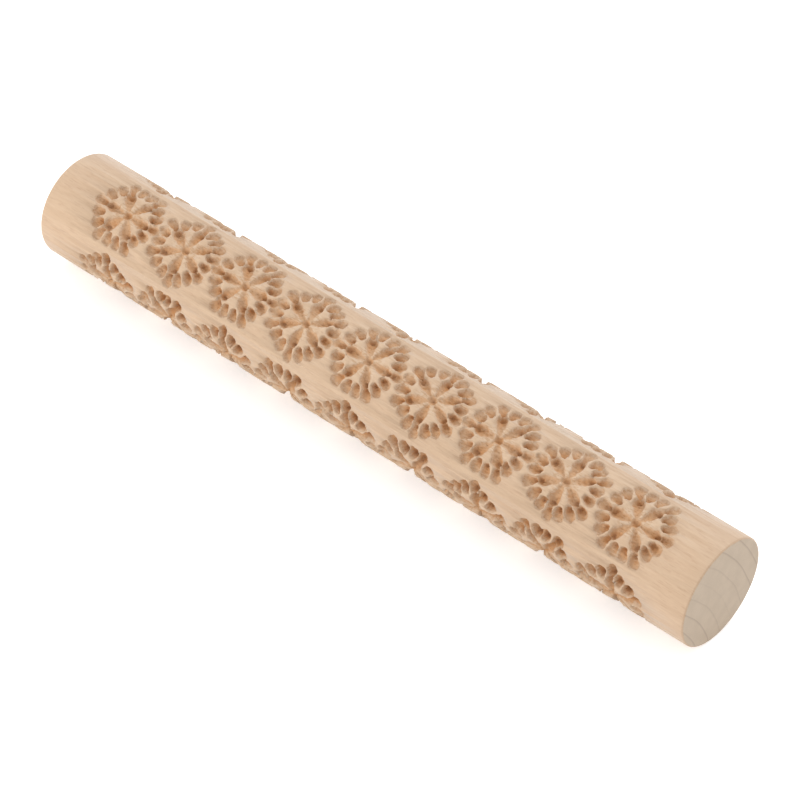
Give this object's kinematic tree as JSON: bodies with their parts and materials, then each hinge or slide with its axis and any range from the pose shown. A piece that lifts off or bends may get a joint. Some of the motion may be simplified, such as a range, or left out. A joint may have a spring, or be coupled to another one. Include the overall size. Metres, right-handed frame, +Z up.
{
  "type": "textured pattern roller",
  "caption": "Solid wooden roller carved with nested rows of flowers, rolled under the hands to press a raised pattern into clay, soft plaster or thick paint.",
  "frame": {"origin": "middle of the roller's axis, halfway between its two end faces", "axes": "+X along the roller's axis towards the end face that is nearer to the carved pattern, +Z up when the roller lies on a table"},
  "size_m": [0.2, 0.0274, 0.0274],
  "materials": {
    "beech": "fine-sanded bare beech"
  },
  "bodies": {
    "root": {"roller": "beech"}
  },
  "joints": []
}
